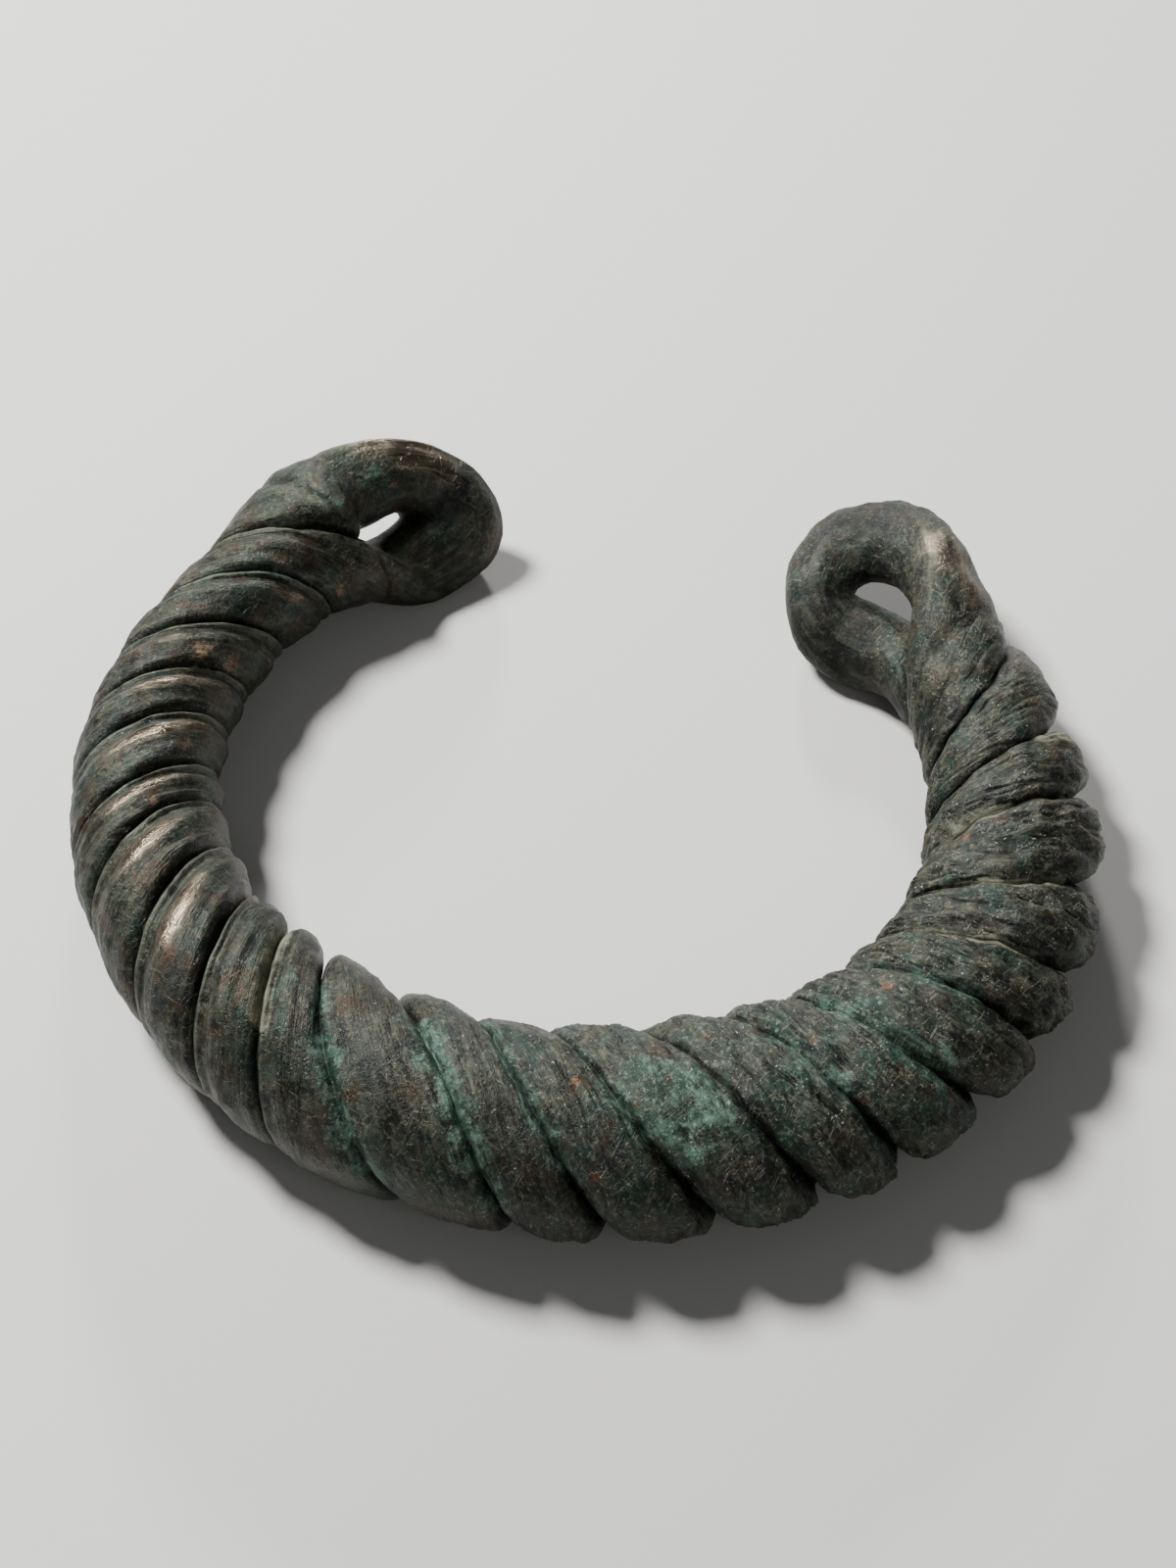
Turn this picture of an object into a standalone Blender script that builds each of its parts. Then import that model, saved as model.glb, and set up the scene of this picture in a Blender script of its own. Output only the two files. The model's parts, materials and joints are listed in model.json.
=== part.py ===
"""Twisted bangle: an open arm ring of two bronze strands twisted together, with a loop at each end.

The ring is built as a straight doubled bar. Every section is turned by the twist and then laid
along the bent centreline. At both ends the bar splits into two legs that join round a loop.
The finished ring lies flat on the ground, gap to the back (+Y), loops at the left and right ends.
"""
import math

import bpy
import numpy as np
from mathutils import Vector

MM = 0.001

# Overall width of the ring, left side to right side, and what the bar's own thickness adds to it there
RING_WIDTH_MM = 84.3
SIDE_BARS_MM = 14.3

# Centreline of the bar seen from above, left loop to right loop, x and y in mm for a ring of that width
PLAN_MM = [
    (-3.2, 30.6), (-10.8, 27.0), (-18.5, 23.0), (-25.3, 19.3), (-30.2, 14.2), (-36.2, -0.5), (-33.3, -17.0),
    (-22.5, -30.0), (-7.0, -36.4), (9.7, -36.0), (24.8, -28.8), (33.8, -14.7), (33.6, 1.0),
    (29.8, 10.5), (24.8, 17.5), (19.6, 24.5),
]

PLAN_SPAN_MM = max(x for x, y in PLAN_MM) - min(x for x, y in PLAN_MM)
RING_SCALE = (RING_WIDTH_MM - SIDE_BARS_MM) / PLAN_SPAN_MM     # lengths along the centreline follow the width
TANGENT_STEP_MM = 0.4      # reach over which the centreline's direction is taken

# Width and height of half the bar along its length, in mm, left end to right end
HALF_WIDTH_MM = [5.4, 6.1, 6.7, 7.4, 8.3, 8.8, 8.2, 7.5, 6.2]
HALF_HEIGHT_MM = [6.0, 6.5, 7.2, 7.4, 7.2, 6.6, 6.0, 5.8, 5.8]
# How far each section leans along the bar at its outer side, as a slope
LEAN = [0.60, 0.24, 0.26, 0.41, 0.40, 0.23, 0.08, 0.10, 0.30]

# Widths of the turns along the centreline, in mm, from the second groove of the left end on
TURN_WIDTHS_MM = [
    6.8, 5.4, 5.2, 6.4, 4.2, 6.7, 7.1, 5.8, 5.3, 10.3, 6.0,
    6.8, 8.4, 7.0, 6.0, 7.1, 5.0, 6.0, 7.9, 5.4, 6.4,
]
FIRST_GROOVE_MM = 31.8     # where the second groove crosses the top, from the left end of the centreline
LEFT_END_TURNS_MM = (17.0, 6.3)     # widths of the turns next to the left loop
RIGHT_END_TURNS_MM = (12.0, 22.0)   # widths of the turns next to the right loop
LEFT_SPLIT = -0.22         # twist, in turns, where the bar splits into the left loop
RIGHT_SPLIT = 22.50        # twist, in turns, where the bar splits into the right loop

GROOVE_DEPTH = 0.18        # groove depth over the top, as a share of the half width
OUTER_DEPTH = 0.42         # groove depth on the outer side of the right half
GROOVE_SHARPNESS = 0.55    # under 1 makes round turns with narrow grooves

# Loops: length past the split, half width to the leg centre, and leg half thicknesses, in mm.
# The shape is the leg's middle from one strand to the other, as shares of the length and half width.
LEFT_LOOP = {
    "length": 11.3, "half": 4.3, "leg_wide": 3.45, "end_wide": 3.7, "leg_thick": 2.7, "turn": 0.06,
    "shape": [(0.16, 0.88), (0.42, 1.04), (0.72, 1.02), (0.96, 0.56), (1.0, 0.05), (0.90, -0.44), (0.64, -0.74),
              (0.30, -0.84)],
}
RIGHT_LOOP = {
    "length": 15.8, "half": 5.3, "leg_wide": 3.5, "end_wide": 3.3, "leg_thick": 3.1, "turn": 0.60,
    "shape": [(0.30, 0.62), (0.62, 0.92), (0.87, 0.98), (1.0, 0.52), (0.98, -0.10), (0.80, -0.66), (0.50, -0.90),
              (0.24, -0.80)],
}
START_SHARE = 0.5          # where each leg's middle starts, as a share of the bar's half width
LEG_BLEND = 0.3            # share of the way round a loop over which the strand's section becomes the leg's
CROTCH_MM = 0.9            # how far the rounded crotch between the legs stands past the split

SHOULDER = 0.30            # swelling of the bar next to the left loop, on its outer upper side
SHOULDER_AT_MM = 0.0       # where the swelling is widest, from the split
SHOULDER_LONG_MM = 3.6     # how far the swelling runs

FLOOR_CUT_MM = 0.4         # worn flat underside: the lowest turns are cut level by this much

SECTION_POINTS = 20
RINGS_PER_TURN = 9
LEG_RINGS = 22


def smooth_curve(knots, values):
    """Natural cubic spline through the values; returns a function and its slope function."""
    x = np.asarray(knots, dtype=float)
    y = np.asarray(values, dtype=float)
    n = len(x)
    h = np.diff(x)
    rows = np.zeros((n, n))
    right = np.zeros(n)
    rows[0, 0] = 1.0
    rows[-1, -1] = 1.0
    for i in range(1, n - 1):
        rows[i, i - 1] = h[i - 1]
        rows[i, i] = 2.0 * (h[i - 1] + h[i])
        rows[i, i + 1] = h[i]
        right[i] = 6.0 * ((y[i + 1] - y[i]) / h[i] - (y[i] - y[i - 1]) / h[i - 1])
    bend = np.linalg.solve(rows, right)

    def span(at):
        i = int(np.clip(np.searchsorted(x, at) - 1, 0, n - 2))
        return i, (x[i + 1] - at) / h[i], (at - x[i]) / h[i]

    def value(at):
        i, a, b = span(at)
        curve = (a ** 3 - a) * bend[i] + (b ** 3 - b) * bend[i + 1]
        return a * y[i] + b * y[i + 1] + curve * h[i] ** 2 / 6.0

    def slope(at):
        i, a, b = span(at)
        curve = (3 * b ** 2 - 1) * bend[i + 1] - (3 * a ** 2 - 1) * bend[i]
        return (y[i + 1] - y[i]) / h[i] + curve * h[i] / 6.0

    return value, slope


class Bar:
    """The bent and twisted bar: turns straight bar coordinates into places in the ring's frame."""

    def __init__(self):
        plan = [(x * MM * RING_SCALE, y * MM * RING_SCALE) for x, y in PLAN_MM]
        chord = [0.0]
        for a, b in zip(plan[:-1], plan[1:]):
            chord.append(chord[-1] + math.hypot(b[0] - a[0], b[1] - a[1]))
        x_of, _ = smooth_curve(chord, [p[0] for p in plan])
        y_of, _ = smooth_curve(chord, [p[1] for p in plan])
        fine = np.linspace(0.0, chord[-1], 1500)
        track = [(x_of(c), y_of(c)) for c in fine]
        along = [0.0]
        for a, b in zip(track[:-1], track[1:]):
            along.append(along[-1] + math.hypot(b[0] - a[0], b[1] - a[1]))
        self.along = np.array(along)
        self.track = np.array(track)
        self.length = along[-1]
        count = len(HALF_WIDTH_MM)
        first = FIRST_GROOVE_MM * MM * RING_SCALE
        body = sum(TURN_WIDTHS_MM) * MM * RING_SCALE
        knots = [first + body * i / (count - 1) for i in range(count)]
        self.width_of, _ = smooth_curve(knots, [w * MM for w in HALF_WIDTH_MM])
        self.height_of, _ = smooth_curve(knots, [h * MM for h in HALF_HEIGHT_MM])
        self.lean_of, _ = smooth_curve(knots, LEAN)
        self.body_start = first
        self.body_end = first + body
        left_end = sum(LEFT_END_TURNS_MM) * MM * RING_SCALE
        stations = [first - left_end]
        for width in (*LEFT_END_TURNS_MM, *TURN_WIDTHS_MM, *RIGHT_END_TURNS_MM):
            stations.append(stations[-1] + width * MM * RING_SCALE)
        self.stations = np.array(stations)
        self.turns = np.arange(len(stations), dtype=float) - 1.0
        self.left_split = self.station(LEFT_SPLIT)
        self.right_split = self.station(RIGHT_SPLIT)

    def at(self, s):
        """Place on the centreline and its direction in plan."""
        inside = min(max(s, 0.0), self.length)
        x = np.interp(inside, self.along, self.track[:, 0])
        y = np.interp(inside, self.along, self.track[:, 1])
        step = TANGENT_STEP_MM * MM
        low = max(inside - step, 0.0)
        high = min(inside + step, self.length)
        dx = np.interp(high, self.along, self.track[:, 0]) - np.interp(low, self.along, self.track[:, 0])
        dy = np.interp(high, self.along, self.track[:, 1]) - np.interp(low, self.along, self.track[:, 1])
        tangent = Vector((dx, dy, 0.0)).normalized()
        place = Vector((x, y, 0.0)) + tangent * (s - inside)
        return place, tangent

    def clamped(self, s):
        return min(max(s, self.body_start), self.body_end)

    def phase(self, s):
        """Turns of the twist up to s: whole numbers where a groove crosses the top."""
        if s < self.left_split:
            turn = LEFT_LOOP["turn"]
            past = (self.left_split - s) / (self.stations[1] - self.stations[0])
            return LEFT_SPLIT - turn * (1.0 - math.exp(-past / turn))
        if s > self.right_split:
            turn = RIGHT_LOOP["turn"]
            past = (s - self.right_split) / (self.stations[-1] - self.stations[-2])
            return RIGHT_SPLIT + turn * (1.0 - math.exp(-past / turn))
        return float(np.interp(s, self.stations, self.turns))

    def station(self, phase):
        """Length along the bar where the twist reaches a phase."""
        return float(np.interp(phase, self.turns, self.stations))

    def place(self, s, across, up):
        """A point given as shares of the half width: across is the strand side, up the groove side."""
        twist = -math.pi * self.phase(s)
        centre, tangent = self.at(s)
        outward = tangent.cross(Vector((0.0, 0.0, 1.0)))
        side = across * math.cos(twist) - up * math.sin(twist)
        rise = across * math.sin(twist) + up * math.cos(twist)
        c = self.clamped(s)
        shift = side * self.width_of(c)
        point = centre + outward * shift + tangent * (shift * self.lean_of(c))
        point.z = self.height_of(c) * (1.0 + rise)
        return point


def section_radius(bar, s, angle):
    """Share of the half width at an angle round the bar, measured from the first groove."""
    world = math.pi / 2 - math.pi * bar.phase(s) - angle
    run = (s - bar.body_start) / (bar.body_end - bar.body_start)
    outer = max(0.0, math.cos(world)) ** 1.5
    right_half = min(max((run - 0.35) / 0.3, 0.0), 1.0)
    depth = GROOVE_DEPTH + (OUTER_DEPTH - GROOVE_DEPTH) * outer * right_half
    bump = abs(math.sin(angle)) ** GROOVE_SHARPNESS
    past_split = (s - bar.left_split - SHOULDER_AT_MM * MM) / (SHOULDER_LONG_MM * MM)
    shoulder = SHOULDER * math.exp(-past_split ** 2) * max(0.0, math.cos(world - math.radians(40.0)))
    return 1.0 + shoulder - depth * (1.0 - bump)


def body_ring(bar, s):
    ring = []
    for j in range(SECTION_POINTS):
        angle = 2.0 * math.pi * j / SECTION_POINTS
        radius = section_radius(bar, s, angle)
        ring.append((s, radius * math.sin(angle), radius * math.cos(angle)))
    return ring


def loop_path(loop, unit):
    """Middle of a loop's leg: distance past the split and offset to the strand side, for u from 0 to 1."""
    stops = [(0.0, START_SHARE)]
    for past, offset in loop["shape"]:
        stops.append((past * loop["length"] * MM, offset * loop["half"] * MM / unit))
    stops.append((0.0, -START_SHARE))
    gone = [0.0]
    for a, b in zip(stops[:-1], stops[1:]):
        gone.append(gone[-1] + math.hypot((b[0] - a[0]) / unit, b[1] - a[1]))
    past_of, _ = smooth_curve(gone, [stop[0] for stop in stops])
    offset_of, _ = smooth_curve(gone, [stop[1] for stop in stops])

    def middle(u):
        return past_of(u * gone[-1]), offset_of(u * gone[-1])

    return middle


def build_ring():
    bar = Bar()
    n = SECTION_POINTS
    half = n // 2
    points = []
    faces = []

    def add(s, across, up):
        points.append(bar.place(s, across, up))
        return len(points) - 1

    def band(ring_a, ring_b, flip=False):
        for j in range(len(ring_a)):
            k = (j + 1) % len(ring_a)
            quad = [ring_a[j], ring_a[k], ring_b[k], ring_b[j]]
            if flip:
                quad.reverse()
            faces.append(quad)

    turn_count = RIGHT_SPLIT - LEFT_SPLIT
    rings = []
    ring_total = int(round(RINGS_PER_TURN * turn_count)) + 1
    for i in range(ring_total):
        s = bar.station(LEFT_SPLIT + turn_count * i / (ring_total - 1))
        rings.append([add(*p) for p in body_ring(bar, s)])
    for a, b in zip(rings[:-1], rings[1:]):
        band(a, b)

    for ring, loop, way in ((rings[0], LEFT_LOOP, -1.0), (rings[-1], RIGHT_LOOP, 1.0)):
        s_end = bar.left_split if way < 0 else bar.right_split
        unit = bar.width_of(bar.clamped(s_end))
        split = body_ring(bar, s_end)
        top = split[0][2]
        low = split[half][2]
        chord = []
        for j in range(1, half):
            share = low + (top - low) * j / half
            chord.append(add(s_end + way * CROTCH_MM * MM, 0.0, share))
        leg_a = ring[0:half + 1] + chord
        leg_b = [ring[0]] + ring[:half - 1:-1] + chord
        shape_a = [(p[1], p[2]) for p in split[0:half + 1]]
        shape_b = [(-p[1], p[2]) for p in [split[0]] + split[:half - 1:-1]]
        inner = [(0.0, low + (top - low) * j / half) for j in range(1, half)]
        middle = loop_path(loop, unit)
        leg_wide = loop["leg_wide"] * MM / unit
        end_wide = loop["end_wide"] * MM / unit
        thick = loop["leg_thick"] * MM / unit
        leg_rings = [leg_a]
        for i in range(1, LEG_RINGS):
            u = i / LEG_RINGS
            blend = min(min(u, 1.0 - u) / LEG_BLEND, 1.0)
            blend = blend * blend * (3.0 - 2.0 * blend)
            past, offset = middle(u)
            ahead = middle(min(u + 0.005, 1.0))
            behind = middle(max(u - 0.005, 0.0))
            go_s = (ahead[0] - behind[0]) / unit
            go_y = ahead[1] - behind[1]
            size = math.hypot(go_s, go_y)
            go_s = go_s / size * blend + math.copysign(1.0 - blend, 0.5 - u)
            go_y = go_y / size * blend
            size = math.hypot(go_s, go_y)
            out_s = -go_y / size
            out_y = go_s / size
            near = shape_a if u < 0.5 else shape_b
            reach = past / (loop["length"] * MM)
            wide = leg_wide + (end_wide - leg_wide) * reach ** 4
            ring_here = []
            for j in range(n):
                angle = math.pi / 2 - 2.0 * math.pi * j / n
                round_out = wide * math.cos(angle)
                round_up = thick * math.sin(angle)
                if j <= half:
                    start_out = near[j][0] - START_SHARE
                    start_up = near[j][1]
                else:
                    start_out = inner[j - half - 1][0] - START_SHARE
                    start_up = inner[j - half - 1][1]
                out = start_out + (round_out - start_out) * blend
                up = start_up + (round_up - start_up) * blend
                ring_here.append(add(s_end + way * (past + out * out_s * unit), offset + out * out_y, up))
            leg_rings.append(ring_here)
        leg_rings.append(leg_b)
        for a, b in zip(leg_rings[:-1], leg_rings[1:]):
            band(a, b, flip=way < 0)
    return points, faces


def level_underside(points):
    """Cuts the lowest turns level and moves the ring down onto the ground."""
    floor = FLOOR_CUT_MM * MM
    for p in points:
        p.z = max(p.z, floor) - floor


def centre_on_origin(points):
    """Puts the middle of the ring's outline on the origin."""
    middle_x = (min(p.x for p in points) + max(p.x for p in points)) / 2
    middle_y = (min(p.y for p in points) + max(p.y for p in points)) / 2
    for p in points:
        p.x -= middle_x
        p.y -= middle_y
    print("moved by", -middle_x, -middle_y)


def triangles(points, faces):
    """Splits every four-sided face along its shorter diagonal."""
    out = []
    for quad in faces:
        a, b, c, d = quad
        if len(set(quad)) < 4:
            out.append([i for n, i in enumerate(quad) if i not in quad[:n]])
        elif (points[a] - points[c]).length <= (points[b] - points[d]).length:
            out.append([a, b, c])
            out.append([a, c, d])
        else:
            out.append([a, b, d])
            out.append([b, c, d])
    return [t for t in out if len(t) == 3]


for old in list(bpy.data.objects):
    bpy.data.objects.remove(old, do_unlink=True)

ring_points, ring_faces = build_ring()
level_underside(ring_points)
centre_on_origin(ring_points)
ring_faces = triangles(ring_points, ring_faces)

bronze = bpy.data.materials.new("bronze")
bronze.use_nodes = True
shader = bronze.node_tree.nodes["Principled BSDF"]
shader.inputs["Base Color"].default_value = (0.10, 0.09, 0.07, 1.0)
shader.inputs["Metallic"].default_value = 0.7
shader.inputs["Roughness"].default_value = 0.45

mesh = bpy.data.meshes.new("bangle")
mesh.from_pydata([tuple(p) for p in ring_points], [], ring_faces)
mesh.validate()
mesh.materials.append(bronze)
bangle = bpy.data.objects.new("bangle", mesh)
bpy.context.scene.collection.objects.link(bangle)
print("triangles", len(mesh.polygons))
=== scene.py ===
# %% [markdown]
# # A twisted bronze bangle
#
# The object is an old arm ring of solid bronze. Two round strands are twisted together like a rope,
# the rope is bent into an open ring, and each end opens into a loop. We model it the way a smith
# would think of it: first a straight doubled bar, then the twist, then the bend.

import json
import math

import bpy
import numpy as np
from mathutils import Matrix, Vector

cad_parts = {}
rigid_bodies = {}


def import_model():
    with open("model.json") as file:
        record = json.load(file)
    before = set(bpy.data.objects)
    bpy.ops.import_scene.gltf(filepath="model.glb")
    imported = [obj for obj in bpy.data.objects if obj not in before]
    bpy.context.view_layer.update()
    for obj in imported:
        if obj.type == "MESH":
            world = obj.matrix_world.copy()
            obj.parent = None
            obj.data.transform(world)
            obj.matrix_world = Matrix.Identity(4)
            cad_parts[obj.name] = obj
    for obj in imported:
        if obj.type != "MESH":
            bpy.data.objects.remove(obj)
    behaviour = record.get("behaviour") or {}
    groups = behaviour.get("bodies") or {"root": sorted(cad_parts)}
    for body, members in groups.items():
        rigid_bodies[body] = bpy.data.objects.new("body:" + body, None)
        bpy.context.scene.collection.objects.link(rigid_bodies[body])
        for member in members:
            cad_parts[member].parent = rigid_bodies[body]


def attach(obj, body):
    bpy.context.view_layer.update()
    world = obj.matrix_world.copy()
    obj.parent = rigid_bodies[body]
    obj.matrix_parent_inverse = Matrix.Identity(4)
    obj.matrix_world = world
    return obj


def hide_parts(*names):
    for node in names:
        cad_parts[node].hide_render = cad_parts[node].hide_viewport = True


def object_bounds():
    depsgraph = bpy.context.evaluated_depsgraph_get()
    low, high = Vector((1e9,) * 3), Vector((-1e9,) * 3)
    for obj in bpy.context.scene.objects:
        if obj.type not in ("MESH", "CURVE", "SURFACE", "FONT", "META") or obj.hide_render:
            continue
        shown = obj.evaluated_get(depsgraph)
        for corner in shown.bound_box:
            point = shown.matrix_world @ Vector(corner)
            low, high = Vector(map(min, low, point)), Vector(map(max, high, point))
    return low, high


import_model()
cad_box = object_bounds()
MM = 0.001
print("frame box", cad_box)

# %% [markdown]
# ## Camera
#
# The photograph looks down on the ring from in front at about 55 degrees with a long lens. We place
# the camera by that angle and distance, so the render can be laid beside the photograph.

# %% Camera
CAMERA_RAISED = math.radians(55.0)
CAMERA_DISTANCE = 0.2505
LENS_MM = 90.0
SENSOR_MM = 36.0
LOOK_AT = np.array((0.00036, 0.00835, -0.0004))

camera_data = bpy.data.cameras.new("camera")
camera_data.sensor_fit = "HORIZONTAL"
camera_data.sensor_width = SENSOR_MM
camera_data.lens = LENS_MM
camera_data.clip_start = 0.01
camera = bpy.data.objects.new("camera", camera_data)
bpy.context.scene.collection.objects.link(camera)
back = np.array((0.0, -math.cos(CAMERA_RAISED), math.sin(CAMERA_RAISED)))
camera.location = LOOK_AT + CAMERA_DISTANCE * back
camera.rotation_euler = (math.pi / 2 - CAMERA_RAISED, 0.0, 0.0)
bpy.context.scene.camera = camera
print("camera at", tuple(round(v, 4) for v in camera.location))

# %% [markdown]
# ## Sizes of the ring
#
# All sizes are real ones. The turn widths are what the eye reads first: no two turns of the old ring
# are equally wide, so the list gives each its own width. The other lists change slowly along the bar,
# and a smooth curve through a few values is enough for them.

# %% Sizes
RING_WIDTH_MM = (cad_box[1][0] - cad_box[0][0]) / MM
SIDE_BARS_MM = 14.3
PLAN_MM = [
    (-3.2, 30.6), (-10.8, 27.0), (-18.5, 23.0), (-25.3, 19.3), (-30.2, 14.2), (-36.2, -0.5),
    (-33.3, -17.0), (-22.5, -30.0), (-7.0, -36.4), (9.7, -36.0), (24.8, -28.8), (33.8, -14.7),
    (33.6, 1.0), (29.8, 10.5), (24.8, 17.5), (19.6, 24.5),
]
HALF_WIDTH_MM = [5.4, 6.1, 6.7, 7.4, 8.3, 8.8, 8.2, 7.5, 6.2]
HALF_HEIGHT_MM = [6.0, 6.5, 7.2, 7.4, 7.2, 6.6, 6.0, 5.8, 5.8]
LEAN = [0.60, 0.24, 0.26, 0.41, 0.40, 0.23, 0.08, 0.10, 0.30]
TURN_WIDTHS_MM = [
    6.8, 5.4, 5.2, 6.4, 4.2, 6.7, 7.1, 5.8, 5.3, 10.3, 6.0,
    6.8, 8.4, 7.0, 6.0, 7.1, 5.0, 6.0, 7.9, 5.4, 6.4,
]
LEFT_END_TURNS_MM = (17.0, 6.3)
RIGHT_END_TURNS_MM = (12.0, 22.0)
FIRST_GROOVE_MM = 31.8
LEFT_SPLIT = -0.22
RIGHT_SPLIT = 22.50
FLOOR_CUT = 0.4 * MM
MIDDLE = (0.00038, 0.00808)
LEFT_LOOP = {
    "length": 11.3, "half": 4.3, "leg_wide": 3.45, "end_wide": 3.7, "leg_thick": 2.7, "turn": 0.06,
    "blend": 0.18, "rim": 0.07, "rim_at": 25.0,
    "shape": [
        (0.16, 0.88), (0.42, 1.04), (0.72, 1.02), (0.96, 0.56), (1.0, 0.05), (0.90, -0.44),
        (0.64, -0.74), (0.30, -0.84),
    ],
}
RIGHT_LOOP = {
    "length": 15.8, "half": 5.3, "leg_wide": 3.5, "end_wide": 3.3, "leg_thick": 3.1, "turn": 0.60,
    "blend": 0.30, "rim": 0.03, "rim_at": 35.0,
    "shape": [
        (0.30, 0.62), (0.62, 0.92), (0.87, 0.98), (1.0, 0.52), (0.98, -0.10), (0.80, -0.66),
        (0.50, -0.90), (0.24, -0.80),
    ],
}

PLAN_SPAN_MM = max(x for x, y in PLAN_MM) - min(x for x, y in PLAN_MM)
ALONG = (RING_WIDTH_MM - SIDE_BARS_MM) / PLAN_SPAN_MM * MM
SECTION_POINTS = 72
RINGS_PER_TURN = 48
LEG_RINGS = 76
TRACK_POINTS = 1500
print("turns", len(TURN_WIDTHS_MM) + 2)

# %% [markdown]
# ## A smooth curve through a few values
#
# A natural cubic spline bends as little as it can between the values. It gives the centreline of the
# ring and every size that changes along it.


# %% Smooth curve helper
def smooth_curve(knots, values):
    """Natural cubic spline through the values, as a function of an array."""
    x = np.asarray(knots, dtype=float)
    y = np.asarray(values, dtype=float)
    n = len(x)
    h = np.diff(x)
    rows = np.eye(n)
    right = np.zeros(n)
    for i in range(1, n - 1):
        rows[i, i - 1:i + 2] = (h[i - 1], 2.0 * (h[i - 1] + h[i]), h[i])
        right[i] = 6.0 * ((y[i + 1] - y[i]) / h[i] - (y[i] - y[i - 1]) / h[i - 1])
    bend = np.linalg.solve(rows, right)

    def value(at):
        at = np.asarray(at, dtype=float)
        i = np.clip(np.searchsorted(x, at) - 1, 0, n - 2)
        a = (x[i + 1] - at) / h[i]
        b = (at - x[i]) / h[i]
        curve = (a ** 3 - a) * bend[i] + (b ** 3 - b) * bend[i + 1]
        return a * y[i] + b * y[i + 1] + curve * h[i] ** 2 / 6.0

    return value


# %% [markdown]
# ## The centreline and what changes along it
#
# The plan points are scaled so that the finished ring is as wide as the solid part, and a smooth curve
# through them is the path that the bent bar follows. Every other size is then a function of the length
# gone along that path. The turn numbers are counted along it too, which ties the twist to the grooves.

# %% Centreline and the sizes along it
plan = np.array(PLAN_MM) * ALONG
chords = np.concatenate([[0.0], np.cumsum(np.hypot(*np.diff(plan, axis=0).T))])
fine = np.linspace(0.0, chords[-1], TRACK_POINTS)
track = np.stack([smooth_curve(chords, plan[:, side])(fine) for side in (0, 1)], axis=1)
BODY_START = FIRST_GROOVE_MM * ALONG
BODY_END = BODY_START + sum(TURN_WIDTHS_MM) * ALONG
knots = np.linspace(BODY_START, BODY_END, len(HALF_WIDTH_MM))
half_width_along = smooth_curve(knots, np.array(HALF_WIDTH_MM) * MM)
half_height_along = smooth_curve(knots, np.array(HALF_HEIGHT_MM) * MM)
lean_along = smooth_curve(knots, LEAN)
widths = np.array([*LEFT_END_TURNS_MM, *TURN_WIDTHS_MM, *RIGHT_END_TURNS_MM]) * ALONG
stations = np.concatenate([[0.0], np.cumsum(widths)]) + BODY_START - sum(LEFT_END_TURNS_MM) * ALONG
turns = np.arange(len(stations)) - 1.0
LEFT_SPLIT_AT = float(np.interp(LEFT_SPLIT, turns, stations))
RIGHT_SPLIT_AT = float(np.interp(RIGHT_SPLIT, turns, stations))
print("centreline", round(float(chords[-1]), 4), "m")
print("bar splits at", round(LEFT_SPLIT_AT, 4), "and", round(RIGHT_SPLIT_AT, 4), "m")


# %% [markdown]
# ## The twist
#
# A groove crosses the top of the ring at every whole turn number. Between the grooves the twist runs
# evenly, and past each split it dies away, so the loops end up nearly flat.

# %% Twist along the bar
def twist_phase(s):
    """Number of turns of the twist up to a length along the bar."""
    s = np.asarray(s, dtype=float)
    phase = np.interp(s, stations, turns)
    before = np.maximum(LEFT_SPLIT_AT - s, 0.0) / widths[0]
    after = np.maximum(s - RIGHT_SPLIT_AT, 0.0) / widths[-1]
    left = LEFT_SPLIT - LEFT_LOOP["turn"] * (1.0 - np.exp(-before / LEFT_LOOP["turn"]))
    right = RIGHT_SPLIT + RIGHT_LOOP["turn"] * (1.0 - np.exp(-after / RIGHT_LOOP["turn"]))
    phase = np.where(s < LEFT_SPLIT_AT, left, phase)
    return np.where(s > RIGHT_SPLIT_AT, right, phase)


# %% [markdown]
# ## Section of the bar
#
# Cut across, the bar is two strands pressed together, with a narrow groove on each side. On the left
# half each turn is a worn band: a thin rim next to the groove, a polished crest, then a long slope under
# the next turn. Towards the right the turns become blunt fingers, and on the outer side the grooves
# between them run deep. One profile is blended into the other along the bar.

# %% Section of the doubled bar
TOP_DEPTH = 0.15
OUTER_DEPTH_LEFT = 0.10
OUTER_DEPTH_RIGHT = 0.46
INNER_DEPTH = 0.21
KNOB_DEPTH = 0.28
KNOB_SWELL = 0.11
BAND_PROFILE = [
    # share of the way from one groove to the next, height of the skin there
    (0.0, 0.0), (0.035, 0.52), (0.085, 0.72), (0.16, 0.58), (0.26, 0.76), (0.42, 1.0),
    (0.70, 0.84), (0.93, 0.46), (1.0, 0.0),
]
BAND_DEPTH = 0.26
FINGER_BLUNTNESS = 3.0
SHOULDER = 0.30
SHOULDER_LONG = 3.6 * MM
SHOULDER_AT = math.radians(40.0)
SIDE_FOCUS = 1.5
DEEP_FROM, DEEP_TO = 0.35, 0.62
KNOBS_RISE = (0.28, 0.36)
KNOBS_FALL = (0.44, 0.52)
BANDS_END = (0.33, 0.45)
band_form = smooth_curve(*zip(*BAND_PROFILE))


def ramp(x, low, high):
    """Smooth step from 0 at low to 1 at high."""
    t = np.clip((x - low) / (high - low), 0.0, 1.0)
    return t * t * (3.0 - 2.0 * t)


def world_angle(s, angle):
    """Direction round the bent bar: 0 is the outer side, a quarter turn is the top."""
    return math.pi / 2 - math.pi * twist_phase(s) - angle


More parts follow.
